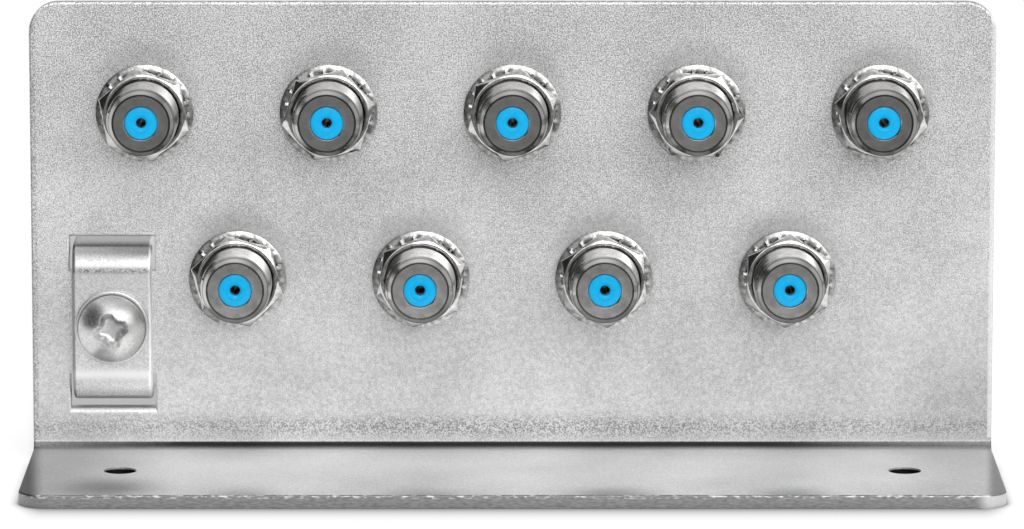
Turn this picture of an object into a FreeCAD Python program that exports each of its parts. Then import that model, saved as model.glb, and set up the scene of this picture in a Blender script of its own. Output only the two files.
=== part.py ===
import FreeCAD
import Part
import math
import os

# Coaxial grounding block: nine F-type couplers in a folded steel angle, with an earth wire clamp.
# Millimetres. X runs along the block, Y points away from the front, Z is up.
# The origin is midway between the two fixing holes, on the underside of the foot.

# Folded angle
sheet = 1.8                    # thickness of the steel
plate_width = 130.0
plate_height = 62.7            # underside of the foot to the top edge
foot_reach = 32.0              # front of the plate to the front edge of the foot
bend_radius = 1.1              # inside of the fold
plate_corner = 4.0
foot_corner = 3.7
edge_roll = 0.3                # rounding that the punch leaves on the outer edges
slot_roll = 0.9                # the same on the long outer side of each clamp slot
slot_edge = 0.3                # and on their short sides

# Fixing holes in the foot
fixing_hole = 4.4
fixing_spacing = 104.65
fixing_setback = 15.8          # front of the plate to the line of the holes

# Places of the couplers
upper_count = 5
lower_count = 4
port_pitch = 24.75
upper_height = 47.7
lower_height = 25.05
nut_turns = (40.5, 12.5, 20.5, 57.5, 45.0, 45.0, 20.5, 34.0, 27.0)  # as the nuts were left, degrees

# Coupler body
thread = 9.45
front_reach = 9.85             # front of the plate to the end face
rear_reach = 8.75              # back of the flange to the rear end face
nose = 8.9                     # plain end ahead of the thread
nose_length = 1.5
nose_chamfer = 0.55
thread_lead = 0.3              # cone from the nose to the thread
flange_flats = 11.1
flange_thickness = 2.8
flange_turn = 30.0             # corners up and down
barrel_bore = 6.3
lip = 0.9                      # rolled end wall that holds the insulators in
lip_bore = 4.5
hole_clearance = 0.15          # round the thread in the plate

# Insulators and inner contact
insulator_clearance = 0.05
insulator_recess = 0.23        # below the end face
pin_hole = 1.37
pin_hole_depth = 1.2
pin_lead = 0.23                # cone at the mouth of the pin hole
contact = 2.4
contact_bore = 1.1
contact_waist = 1.76
contact_slit = 0.3             # width
contact_finger = 3.7           # length of the slits
contact_taper = 2.3            # length of the drawn-in ends
contact_clearance = 0.1

# Nut and lock washer
nut_flats = 11.1
nut_thickness = 2.15
nut_clearance = 0.04           # radial, stands in for the thread
nut_mouth = 10.5               # countersink at the front
nut_seat = 10.0                # the same at the washer
hex_crown = 0.97               # where the corner chamfer starts, as a share of the flats
lock_washer = 13.15
lock_washer_rim = 11.6
lock_washer_bore = 9.75
lock_washer_thickness = 0.5
lock_washer_teeth = 20
tooth_share = 0.42             # of the pitch of the teeth
tooth_root = 0.2               # how far a tooth runs into the rim
tooth_twist = 22.0             # degrees

# Earth clamp
clamp_inset = 10.9             # side of the plate to the centre of the clamp
clamp_height = 19.05
screw_drop = 0.37              # the screw sits this far below the middle of the strap
strap_width = 10.75
strap_span = 21.7              # over the two legs
strap_thickness = 1.4
strap_bend = 3.75              # outside of the bends
strap_leg = 7.4                # reach of the legs behind the front of the plate
strap_edge = 0.5
strap_gap = 0.05               # strap to plate when closed
leg_lead = 1.1                 # chamfer on the ends of the legs
slot_width = 11.5
slot_outer = 11.7              # clamp centre to the far side of a slot
web_gap = 0.1                  # web to the start of the strap's bend

# Clamp screw, washer and drawn collar
screw = 5.0
screw_length = 12.0
screw_clearance = 0.05         # radial, in the collar
screw_tip = 0.7
head = 9.0
head_height = 3.15
head_rim = 0.9                 # straight side below the dome
recess = 4.9
recess_wing = 1.25
recess_depth = 2.15
recess_core = 2.7              # cone in the middle of the cross
recess_taper = 0.45            # length of the cross at its floor, as a share of that at its mouth
wing_taper = 0.73              # the same for the width of a wing
recess_turn = 14.0             # as the screw was left, degrees
washer = 10.1
washer_thickness = 0.85
washer_bore = 5.3
strap_hole = 5.5
collar = 7.2
collar_height = 2.3

across = FreeCAD.Vector(1, 0, 0)
back = FreeCAD.Vector(0, 1, 0)
up = FreeCAD.Vector(0, 0, 1)
origin = FreeCAD.Vector(0, 0, 0)

plate_front = fixing_setback
plate_back = plate_front + sheet
foot_front = plate_front - foot_reach
clamp_x = clamp_inset - plate_width / 2
screw_height = clamp_height - screw_drop
web_half = strap_span / 2 - strap_bend - web_gap
strap_front = -strap_gap - strap_thickness      # from the front of the plate
coupler_end = sheet + flange_thickness + rear_reach
coupler_middle = (coupler_end - front_reach) / 2
tooth_width = math.pi * lock_washer_rim / lock_washer_teeth * tooth_share
twist = math.radians(tooth_twist)
lock_washer_stack = lock_washer_thickness * math.cos(twist) + tooth_width * math.sin(twist)


def save(name, solids):
    """Writes one node: a solid, or a group of separate solids."""
    shape = solids[0] if len(solids) == 1 else Part.makeCompound(solids)
    assert all(s.isValid() and s.ShapeType == "Solid" for s in solids), name
    shape.exportStep(f"parts/{name}.step")
    print(name, len(solids), round(sum(s.Volume for s in solids), 2), "mm3")


def one_solid(shape):
    """The only solid that a boolean or a fillet left."""
    assert len(shape.Solids) == 1, len(shape.Solids)
    return shape.Solids[0]


def vec(x, y, z):
    return FreeCAD.Vector(x, y, z)


def outline(*edges):
    return Part.Face(Part.Wire(Part.__sortEdges__(list(edges))))


def line(a, b):
    return Part.LineSegment(a, b).toShape()


def arc(a, middle, b):
    return Part.Arc(a, middle, b).toShape()


def turned(*points):
    """Solid of revolution about the Y axis, from (place along Y, radius) points."""
    corners = [vec(r, y, 0) for y, r in points]
    face = Part.Face(Part.makePolygon(corners + corners[:1]))
    return face.revolve(origin, back, 360).Solids[0]


def rod(start, end, diameter):
    return Part.makeCylinder(diameter / 2, end - start, vec(0, start, 0), back)


def hexagon(start, end, flats, turn):
    """Hexagonal bar along Y, its corners chamfered at both ends by 30 degrees."""
    corner = flats / math.sqrt(3)
    angles = [math.radians(turn + 60 * k) for k in range(7)]
    ring = [vec(corner * math.cos(a), start, corner * math.sin(a)) for a in angles]
    bar = Part.Face(Part.makePolygon(ring)).extrude(back * (end - start))
    crown = flats * hex_crown / 2
    drop = (corner - crown) * math.tan(math.radians(30))
    cone = turned(
        (start, 0),
        (start, crown),
        (start + drop, corner),
        (end - drop, corner),
        (end, crown),
        (end, 0),
    )
    return one_solid(bar.common(cone))


def ports():
    """Centres of the couplers on the plate: the upper row, then the lower row, from left to right."""
    rows = ((upper_count, upper_height), (lower_count, lower_height))
    return [((k - (count - 1) / 2) * port_pitch, height) for count, height in rows for k in range(count)]


def mounting_bracket():
    outer = bend_radius + sheet
    slant = math.sqrt(0.5)
    points = [
        vec(0, foot_front, 0),
        vec(0, plate_back - outer, 0),
        vec(0, plate_back, outer),
        vec(0, plate_back, plate_height),
        vec(0, plate_front, plate_height),
        vec(0, plate_front, sheet + bend_radius),
        vec(0, plate_front - bend_radius, sheet),
        vec(0, foot_front, sheet),
    ]
    centre = vec(0, plate_front - bend_radius, sheet + bend_radius)
    diagonal = vec(0, slant, -slant)
    face = outline(
        line(points[0], points[1]),
        arc(points[1], centre + diagonal * outer, points[2]),
        line(points[2], points[3]),
        line(points[3], points[4]),
        line(points[4], points[5]),
        arc(points[5], centre + diagonal * bend_radius, points[6]),
        line(points[6], points[7]),
        line(points[7], points[0]),
    )
    face.translate(across * (-plate_width / 2))
    angle = face.extrude(across * plate_width)

    def runs_through(edge, along, place):
        direction = edge.tangentAt(edge.FirstParameter)
        middle = edge.CenterOfMass
        return abs(direction.dot(along)) > 0.99 and abs(middle.x) > plate_width / 2 - 0.01 and place(middle)

    top = [e for e in angle.Edges if runs_through(e, back, lambda m: m.z > plate_height - 0.01)]
    angle = angle.makeFillet(plate_corner, top)
    toe = [e for e in angle.Edges if runs_through(e, up, lambda m: m.y < foot_front + 0.01)]
    angle = angle.makeFillet(foot_corner, toe)

    # The punch rounds the outline on the side that shows: the front of the plate and the top of the foot.
    def on_show(edge):
        on_plate = all(abs(v.Y - plate_front) < 0.01 and v.Z > sheet for v in edge.Vertexes)
        on_foot = all(abs(v.Z - sheet) < 0.01 for v in edge.Vertexes)
        middle = edge.CenterOfMass
        from_centre = (middle - vec(middle.x, centre.y, centre.z)).Length
        in_fold = abs(middle.x) > plate_width / 2 - 0.01 and from_centre < 1.5
        across_fold = abs(edge.tangentAt(edge.FirstParameter).x) > 0.99 and middle.z < plate_height - 0.01
        at_front = middle.y < foot_front + 0.01
        return (on_plate or on_foot or in_fold) and (at_front or not across_fold)

    angle = angle.makeFillet(edge_roll, [e for e in angle.Edges if on_show(e)])

    collar_end = plate_back + collar_height
    screw_place = vec(clamp_x, 0, screw_height)
    angle = angle.fuse(rod(plate_back, collar_end, collar).translated(screw_place))
    tapped = rod(plate_front - 1, collar_end + 1, screw + 2 * screw_clearance)
    cuts = [tapped.translated(screw_place)]
    port_hole = rod(plate_front - 1, plate_back + 1, thread + 2 * hole_clearance)
    for x, z in ports():
        cuts.append(port_hole.translated(vec(x, 0, z)))
    for side in (-1, 1):
        x = side * fixing_spacing / 2
        cuts.append(Part.makeCylinder(fixing_hole / 2, sheet + 2, vec(x, 0, -1), up))
    slot_height = slot_outer - web_half
    for bottom in (clamp_height + web_half, clamp_height - slot_outer):
        corner = vec(clamp_x - slot_width / 2, plate_front - 1, bottom)
        cuts.append(Part.makeBox(slot_width, sheet + 2, slot_height, corner))
    angle = one_solid(angle.cut(Part.makeCompound(cuts)))

    def slot_rim(along, nearest):
        """The edges of the two slots on the front of the plate, in one direction."""
        found = []
        for edge in angle.Edges:
            middle = edge.CenterOfMass
            in_plane = all(abs(v.Y - plate_front) < 0.01 for v in edge.Vertexes)
            beside = abs(middle.x - clamp_x) < slot_width / 2 + 0.01
            level = nearest - 0.01 < abs(middle.z - clamp_height) < slot_outer + 0.01
            turned_so = abs(edge.tangentAt(edge.FirstParameter).dot(along)) > 0.99
            if in_plane and beside and level and turned_so:
                found.append(edge)
        return found

    angle = angle.makeFillet(slot_roll, slot_rim(across, slot_outer))
    return one_solid(angle.makeFillet(slot_edge, slot_rim(up, web_half)))


def clamp_strap():
    half = strap_span / 2
    back_face = strap_front + strap_thickness
    inner_bend = strap_bend - strap_thickness
    slant = math.sqrt(0.5)

    def half_profile(side):
        centre = vec(0, strap_front + strap_bend, side * (half - strap_bend))
        diagonal = vec(0, -slant, side * slant)
        outer_z = side * half
        inner_z = side * (half - strap_thickness)
        outer = [vec(0, strap_front, centre.z), vec(0, centre.y, outer_z), vec(0, strap_leg, outer_z)]
        inner = [vec(0, strap_leg, inner_z), vec(0, centre.y, inner_z), vec(0, back_face, centre.z)]
        return outer, inner, [
            arc(outer[0], centre + diagonal * strap_bend, outer[1]),
            line(outer[1], outer[2]),
            line(outer[2], inner[0]),
            line(inner[0], inner[1]),
            arc(inner[1], centre + diagonal * inner_bend, inner[2]),
        ]

    outer_top, inner_top, top = half_profile(1)
    outer_low, inner_low, low = half_profile(-1)
    face = outline(*top, *low, line(outer_low[0], outer_top[0]), line(inner_low[2], inner_top[2]))
    face.translate(across * (-strap_width / 2))
    strap = face.extrude(across * strap_width)

    def rim(edge):
        middle = edge.CenterOfMass
        flat = abs(middle.y - strap_front) < 0.01
        leg = abs(abs(middle.z) - half) < 0.01 and middle.y > strap_front + strap_bend - 0.01
        bend = middle.y < strap_front + strap_bend and abs(middle.z) > half - strap_bend / 2 - 0.01
        on_side = abs(abs(middle.x) - strap_width / 2) < 0.01
        return on_side and (flat or leg or bend)

    strap = strap.makeFillet(strap_edge, [e for e in strap.Edges if rim(e)])
    corner = strap_width / 2
    for side in (-1, 1):
        tip = [
            vec(side * (corner - leg_lead), strap_leg, -half),
            vec(side * corner, strap_leg - leg_lead, -half),
            vec(side * (corner + 1), strap_leg + 1, -half),
        ]
        strap = strap.cut(Part.Face(Part.makePolygon(tip + tip[:1])).extrude(up * strap_span))
    return one_solid(strap.cut(rod(strap_front - 1, back_face + 1, strap_hole).translated(up * -screw_drop)))


def clamp_washer():
    front = strap_front - washer_thickness
    bore = washer_bore / 2
    break_edge = washer_thickness / 4
    return turned(
        (strap_front, bore),
        (front, bore),
        (front, washer / 2 - break_edge),
        (front + break_edge, washer / 2),
        (strap_front, washer / 2),
    )


def clamp_screw():
    seat = strap_front - washer_thickness
    crown = seat - head_height
    shoulder = seat - head_rim
    rise = head_height - head_rim
    dome = ((head / 2) ** 2 + rise ** 2) / (2 * rise)
    lean = math.asin(head / 2 / dome) / 2
    half_way = vec(dome * math.sin(lean), crown + dome * (1 - math.cos(lean)), 0)
    tip = seat + screw_length
    shank = screw / 2
    face = outline(
        line(vec(0, crown, 0), vec(0, tip, 0)),
        line(vec(0, tip, 0), vec(shank - screw_tip, tip, 0)),
        line(vec(shank - screw_tip, tip, 0), vec(shank, tip - screw_tip, 0)),
        line(vec(shank, tip - screw_tip, 0), vec(shank, seat, 0)),
        line(vec(shank, seat, 0), vec(head / 2, seat, 0)),
        line(vec(head / 2, seat, 0), vec(head / 2, shoulder, 0)),
        arc(vec(head / 2, shoulder, 0), half_way, vec(0, crown, 0)),
    )
    body = face.revolve(origin, back, 360).Solids[0]

    def blade(turn):
        rings = []
        for y, long, wide in ((crown, 1, 1), (crown + recess_depth, recess_taper, wing_taper)):
            x, z = recess / 2 * long, recess_wing / 2 * wide
            corners = [vec(-x, y, -z), vec(x, y, -z), vec(x, y, z), vec(-x, y, z)]
            rings.append(Part.makePolygon(corners + corners[:1]))
        wing = Part.makeLoft(rings, True, True)
        return wing.rotated(origin, back, turn)

    core = recess_core / 2
    floor = crown + recess_depth
    cone = turned((crown, 0), (crown, core), (floor, core * recess_taper), (floor, 0))
    cross = blade(-recess_turn).fuse(blade(90 - recess_turn)).fuse(cone)
    return one_solid(body.cut(cross))


def lock_washer_solid():
    middle = -lock_washer_stack / 2
    low = middle - lock_washer_thickness / 2
    ring = rod(low, low + lock_washer_thickness, lock_washer)
    ring = ring.cut(rod(low - 1, low + lock_washer_thickness + 1, lock_washer_rim))
    reach = lock_washer_rim / 2 + tooth_root
    start = lock_washer_bore / 2
    tooth = Part.makeBox(reach - start, lock_washer_thickness, tooth_width)
    tooth.translate(vec(start, -lock_washer_thickness / 2, -tooth_width / 2))
    tooth = tooth.rotated(origin, across, tooth_twist).translated(vec(0, middle, 0))
    step = 360 / lock_washer_teeth
    teeth = [tooth.rotated(origin, back, k * step) for k in range(lock_washer_teeth)]
    return one_solid(ring.multiFuse(teeth).removeSplitter())


def coupler_nut(turn):
    low = -lock_washer_stack - nut_thickness
    bore = thread / 2 + nut_clearance
    mouth = nut_mouth / 2
    seat = nut_seat / 2
    nut = hexagon(low, -lock_washer_stack, nut_flats, turn)
    hollow = turned(
        (low - 1, 0),
        (low - 1, mouth),
        (low, mouth),
        (low + mouth - bore, bore),
        (-lock_washer_stack - seat + bore, bore),
        (-lock_washer_stack, seat),
        (-lock_washer_stack + 1, seat),
        (-lock_washer_stack + 1, 0),
    )
    return one_solid(nut.cut(hollow))


def coupler_body():
    outside = thread / 2
    rim = nose / 2 - nose_chamfer
    bore = barrel_bore / 2
    hole = lip_bore / 2
    half = (coupler_end + front_reach) / 2
    profile = (
        (half - lip, bore),
        (half - lip, hole),
        (half, hole),
        (half, rim),
        (half - nose_chamfer, nose / 2),
        (half - nose_length, nose / 2),
        (half - nose_length - thread_lead, outside),
    )
    rear = [(coupler_middle + y, r) for y, r in profile]
    front = [(coupler_middle - y, r) for y, r in reversed(profile)]
    barrel = turned(*rear, *front)
    flange = hexagon(sheet, sheet + flange_thickness, flange_flats, flange_turn)
    flange = flange.cut(rod(sheet, sheet + flange_thickness, barrel_bore))
    return one_solid(barrel.fuse(flange).removeSplitter())


def insulator(end):
    """Half of the insulator: end is -1 at the front of the coupler and 1 at its rear."""
    half = (coupler_end + front_reach) / 2
    face = half - insulator_recess
    inside = half - lip - insulator_clearance
    neck = lip_bore / 2 - insulator_clearance
    shoulder = barrel_bore / 2 - insulator_clearance
    cavity = contact / 2 + contact_clearance
    hole = pin_hole / 2
    profile = (
        (face, hole + pin_lead),
        (face, neck),
        (inside, neck),
        (inside, shoulder),
        (insulator_clearance, shoulder),
        (insulator_clearance, cavity),
        (face - pin_hole_depth, cavity),
        (face - pin_hole_depth, hole),
        (face - pin_lead, hole),
    )
    return turned(*[(coupler_middle + end * y, r) for y, r in profile])


def contact_tube():
    half = (coupler_end + front_reach) / 2 - insulator_recess - pin_hole_depth - contact_clearance
    sleeve = turned(
        (coupler_middle - half, contact_bore / 2),
        (coupler_middle - half, contact_waist / 2),
        (coupler_middle - half + contact_taper, contact / 2),
        (coupler_middle + half - contact_taper, contact / 2),
        (coupler_middle + half, contact_waist / 2),
        (coupler_middle + half, contact_bore / 2),
    )
    slits = []
    for end in (-half, half - contact_finger):
        place = vec(-contact / 2, coupler_middle + end, -contact_slit / 2)
        slit = Part.makeBox(contact, contact_finger, contact_slit, place)
        slits += [slit, slit.rotated(origin, back, 90)]
    return one_solid(sleeve.cut(Part.makeCompound(slits)))


def placed(shape, x, z):
    return shape.translated(vec(x, plate_front, z))


os.makedirs("parts", exist_ok=True)

save("mounting_bracket", [mounting_bracket()])
save("clamp_strap", [placed(clamp_strap(), clamp_x, clamp_height)])
save("clamp_washer", [placed(clamp_washer(), clamp_x, screw_height)])
save("clamp_screw", [placed(clamp_screw(), clamp_x, screw_height)])

body = coupler_body()
contact_piece = contact_tube()
front_half = insulator(-1)
rear_half = insulator(1)
star = lock_washer_solid()
nuts = []
stars = []
for number, (x, z) in enumerate(ports(), 1):
    save(f"coupler_body_{number}", [placed(body, x, z)])
    save(f"front_insulator_{number}", [placed(front_half, x, z)])
    save(f"rear_insulator_{number}", [placed(rear_half, x, z)])
    save(f"inner_contact_{number}", [placed(contact_piece, x, z)])
    nuts.append(placed(coupler_nut(nut_turns[(number - 1) % len(nut_turns)]), x, z))
    stars.append(placed(star, x, z))
save("coupler_nuts", nuts)
save("lock_washers", stars)
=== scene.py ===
import math

import bpy
from mathutils import Matrix, Vector


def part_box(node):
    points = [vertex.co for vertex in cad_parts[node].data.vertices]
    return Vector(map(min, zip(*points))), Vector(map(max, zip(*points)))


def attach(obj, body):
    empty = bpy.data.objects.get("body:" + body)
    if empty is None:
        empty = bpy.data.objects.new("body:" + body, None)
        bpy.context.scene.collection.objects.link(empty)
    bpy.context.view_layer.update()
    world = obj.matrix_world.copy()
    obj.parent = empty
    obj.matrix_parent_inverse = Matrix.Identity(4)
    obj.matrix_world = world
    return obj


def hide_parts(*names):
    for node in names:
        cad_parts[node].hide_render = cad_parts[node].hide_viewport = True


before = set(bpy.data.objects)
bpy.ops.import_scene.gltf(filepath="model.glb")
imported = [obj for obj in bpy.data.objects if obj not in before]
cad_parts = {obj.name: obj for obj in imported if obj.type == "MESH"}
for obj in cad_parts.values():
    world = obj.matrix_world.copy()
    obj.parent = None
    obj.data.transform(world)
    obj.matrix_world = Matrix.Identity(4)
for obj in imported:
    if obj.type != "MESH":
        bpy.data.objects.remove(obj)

# Coaxial grounding block: nine threaded couplers in a folded, zinc plated angle, with an earth wire clamp.
# Metres. X runs along the block, Y points away from the front, Z is up.

mm = 0.001
fullTurn = 2 * math.pi
white = (1.0, 1.0, 1.0, 1.0)
slack = 0.01 * mm               # keeps the surfaces of a boolean apart
skin = 0.1 * mm                 # a point this near to a face counts as on it
weld = 0.003 * mm               # corners nearer to each other than this become one
threadWeld = 0.002 * mm         # the same between the turns of a thread
noiseLow, noiseHigh = 0.3, 0.7  # nearly all values of a noise texture lie between these
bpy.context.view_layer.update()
print("frame loaded")


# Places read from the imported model

def middleOf(node):
    low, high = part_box(node)
    return (low + high) / 2


couplerCount = sum(name.startswith("coupler_body_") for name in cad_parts)
couplerPlaces = [middleOf(f"coupler_body_{n + 1}") for n in range(couplerCount)]
bodyFront, bodyBack = (corner.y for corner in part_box("coupler_body_1"))
bodyMiddle = (bodyFront + bodyBack) / 2
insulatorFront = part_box("front_insulator_1")[0].y
washerFront, plateFront = (corner.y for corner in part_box("lock_washers"))
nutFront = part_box("coupler_nuts")[0].y
sheetThickness = 1.8 * mm       # the bracket's box doesn't give it: the drawn collar stands out behind
plateBack = plateFront + sheetThickness
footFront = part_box("mounting_bracket")[0].y
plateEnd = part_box("mounting_bracket")[1].x
strapMiddle = middleOf("clamp_strap").z
screwPlace = middleOf("clamp_washer")
washerSeat, strapFront = (corner.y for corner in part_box("clamp_washer"))
screwCrown, screwTip = (corner.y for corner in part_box("clamp_screw"))


# Small tools

def deselectAll():
    if bpy.context.object and bpy.context.object.mode != "OBJECT":
        bpy.ops.object.mode_set(mode="OBJECT")
    bpy.ops.object.select_all(action="DESELECT")


def makeActive(piece):
    deselectAll()
    piece.select_set(True)
    bpy.context.view_layer.objects.active = piece


def pickVertices(piece, wanted):
    # opens the piece in edit mode with only the wanted vertices picked
    makeActive(piece)
    bpy.ops.object.mode_set(mode="EDIT")
    bpy.ops.mesh.select_mode(type="VERT")
    bpy.ops.mesh.select_all(action="DESELECT")
    bpy.ops.object.mode_set(mode="OBJECT")
    for vertex in piece.data.vertices:
        vertex.select = wanted(vertex.co)
    bpy.ops.object.mode_set(mode="EDIT")


def narrowPicked(share):
    # draws the picked vertices towards the Y axis
    bpy.ops.transform.resize(value=(share, 1, share), center_override=(0, 0, 0))
    bpy.ops.object.mode_set(mode="OBJECT")


def applyModifier(piece, kind, **settings):
    makeActive(piece)
    modifier = piece.modifiers.new(kind.lower(), kind)
    for key, value in settings.items():
        setattr(modifier, key, value)
    bpy.ops.object.modifier_apply(modifier=modifier.name)


def carve(piece, tool, operation):
    applyModifier(piece, "BOOLEAN", operation=operation, object=tool, solver="EXACT")
    bpy.data.objects.remove(tool)


def drawChain(name, points):
    # one vertex, extruded from point to point
    deselectAll()
    bpy.ops.mesh.primitive_plane_add(size=mm, location=(0, 0, 0))
    piece = bpy.context.object
    piece.name = name
    bpy.ops.object.mode_set(mode="EDIT")
    bpy.ops.mesh.merge(type="CENTER")
    bpy.ops.transform.translate(value=Vector(points[0]))
    for before, after in zip(points, points[1:]):
        step = Vector(after) - Vector(before)
        bpy.ops.mesh.extrude_region_move(TRANSFORM_OT_translate={"value": step})
    return piece


def closeShape():
    bpy.ops.mesh.select_all(action="SELECT")
    bpy.ops.mesh.remove_doubles(threshold=weld)
    bpy.ops.mesh.normals_make_consistent(inside=False)
    bpy.ops.object.mode_set(mode="OBJECT")


def turnShape(name, profile, steps=72):
    # profile: (place along Y, radius), turned about the Y axis
    piece = drawChain(name, [(radius, place, 0) for place, radius in profile])
    bpy.ops.mesh.select_all(action="SELECT")
    bpy.ops.mesh.spin(steps=steps, angle=fullTurn, center=(0, 0, 0), axis=(0, 1, 0))
    closeShape()
    return piece


def barAlongY(name, radius, front, back, sides):
    deselectAll()
    bpy.ops.mesh.primitive_cylinder_add(vertices=sides, radius=radius, depth=back - front,
                                        location=(0, (front + back) / 2, 0), rotation=(math.pi / 2, 0, 0))
    bar = bpy.context.object
    bar.name = name
    bpy.ops.object.transform_apply(location=True, rotation=True, scale=True)
    return bar


def smoothEdges(piece, angle=32):
    makeActive(piece)
    bpy.ops.object.shade_smooth_by_angle(angle=math.radians(angle))


def bevelEdges(piece, width, segments=2, angle=30):
    limit = math.radians(angle)
    applyModifier(piece, "BEVEL", width=width, segments=segments, limit_method="ANGLE", angle_limit=limit)


def keepOwnPlace(piece, tone):
    # the place on the piece before it is set down, and how dark the piece is drawn
    own = piece.data.attributes.new("ownPlace", "FLOAT_VECTOR", "POINT")
    own.data.foreach_set("vector", [value for vertex in piece.data.vertices for value in vertex.co])
    shade = piece.data.attributes.new("tone", "FLOAT", "POINT")
    shade.data.foreach_set("value", [tone] * len(piece.data.vertices))


def setDown(model, name, x, z, turn=0.0, material=None, tone=1.0):
    # a copy with its own mesh, turned about Y and moved to its place in the mesh itself
    piece = model.copy()
    piece.data = model.data.copy()
    piece.name = name
    bpy.context.scene.collection.objects.link(piece)
    keepOwnPlace(piece, tone)
    piece.data.transform(Matrix.Translation((x, 0, z)) @ Matrix.Rotation(math.radians(-turn), 4, "Y"))
    piece.data.materials.clear()
    piece.data.materials.append(material)
    return piece


def finishPiece(piece, body, node):
    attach(piece, body)
    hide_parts(node)


# Materials

def hexColour(code):
    # sRGB to the linear values that the shaders take
    parts = [int(code[i:i + 2], 16) / 255 for i in (1, 3, 5)]
    return tuple(c / 12.92 if c <= 0.04045 else ((c + 0.055) / 1.055) ** 2.4 for c in parts) + (1.0,)


def addNode(tree, kind, settings=None, **links):
    # settings are the node's own properties or its sockets' values; links join its sockets to others
    node = tree.nodes.new(kind)
    for key, value in (settings or {}).items():
        if isinstance(key, int) or key in node.inputs:
            node.inputs[key].default_value = value
        else:
            setattr(node, key, value)
    for key, source in links.items():
        tree.links.new(source, node.inputs[int(key[2:]) if key.startswith("in") else key])
    return node


def newMaterial(name, **constants):
    material = bpy.data.materials.new(name)
    material.use_nodes = True
    tree = material.node_tree
    shader = tree.nodes["Principled BSDF"]
    for key, value in constants.items():
        shader.inputs[key].default_value = value
    return material, tree, shader


def objectPlace(tree):
    return addNode(tree, "ShaderNodeTexCoord").outputs["Object"]


def worldNormal(tree):
    normal = addNode(tree, "ShaderNodeNewGeometry").outputs["Normal"]
    return addNode(tree, "ShaderNodeSeparateXYZ", in0=normal)


def noise(size, detail, place):
    # a socket knows the tree that it is in
    settings = {"Scale": 1 / size, "Detail": detail}
    return addNode(place.id_data, "ShaderNodeTexNoise", settings, Vector=place).outputs["Fac"]


def ramp(value, low, high, start=0.0, end=1.0, smooth=False):
    # runs from low to high while the value goes from start to end
    settings = {"interpolation_type": "SMOOTHSTEP" if smooth else "LINEAR",
                "From Min": start, "From Max": end, "To Min": low, "To Max": high}
    return addNode(value.id_data, "ShaderNodeMapRange", settings, Value=value).outputs[0]


def rise(value, start, end, smooth=False):
    return ramp(value, 0.0, 1.0, start, end, smooth)


def fall(value, start, end, smooth=False):
    return ramp(value, 1.0, 0.0, start, end, smooth)


def blend(operation, first, second):
    # one operation on two values, of which the second may be a number
    node = addNode(first.id_data, "ShaderNodeMath", {"operation": operation}, in0=first)
    if isinstance(second, float):
        node.inputs[1].default_value = second
    else:
        first.id_data.links.new(second, node.inputs[1])
    return node.outputs[0]


def product(first, *others):
    for other in others:
        first = blend("MULTIPLY", first, other)
    return first


def largest(first, *others):
    for other in others:
        first = blend("MAXIMUM", first, other)
    return first


def above(value, limit):
    return blend("GREATER_THAN", value, limit)


def below(value, limit):
    return blend("LESS_THAN", value, limit)


def minus(value, level):
    return blend("SUBTRACT", value, level)


def magnitude(value):
    return blend("ABSOLUTE", value, 0.0)


def awayFrom(value, level):
    return magnitude(minus(value, level))


def lengthOf(first, second):
    # distance in a plane, from its two parts
    pair = addNode(first.id_data, "ShaderNodeCombineXYZ", X=first, Y=second).outputs[0]
    return addNode(pair.id_data, "ShaderNodeVectorMath", {"operation": "LENGTH"}, in0=pair).outputs["Value"]


def mixColours(share, dark, light):
    settings = {"data_type": "RGBA", 6: hexColour(dark), 7: hexColour(light)}
    return addNode(share.id_data, "ShaderNodeMix", settings, in0=share).outputs[2]


def darken(colour, strength):
    # multiplies a colour by a grey that comes from a value between 0 and 1
    grey = addNode(colour.id_data, "ShaderNodeCombineXYZ", X=strength, Y=strength, Z=strength).outputs[0]
    settings = {"data_type": "RGBA", "blend_type": "MULTIPLY", 0: 1.0}
    return addNode(colour.id_data, "ShaderNodeMix", settings, in6=colour, in7=grey).outputs[2]


def shaded(colour, share, shade):
    # darkens a colour down to shade where share is 1
    return darken(colour, ramp(share, 1.0, shade))


def layer(share, under, over=None):
    # shows the second colour, or else white, where share is 1
    mix = addNode(share.id_data, "ShaderNodeMix", {"data_type": "RGBA", 7: white}, in0=share, in6=under)
    if over is not None:
        share.id_data.links.new(over, mix.inputs[7])
    return mix.outputs[2]


def addBump(shader, height, look):
    settings = {"Strength": look["bump"], "Distance": look["relief"]}
    bump = addNode(shader.id_data, "ShaderNodeBump", settings, Height=height)
    shader.id_data.links.new(bump.outputs[0], shader.inputs["Normal"])


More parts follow.
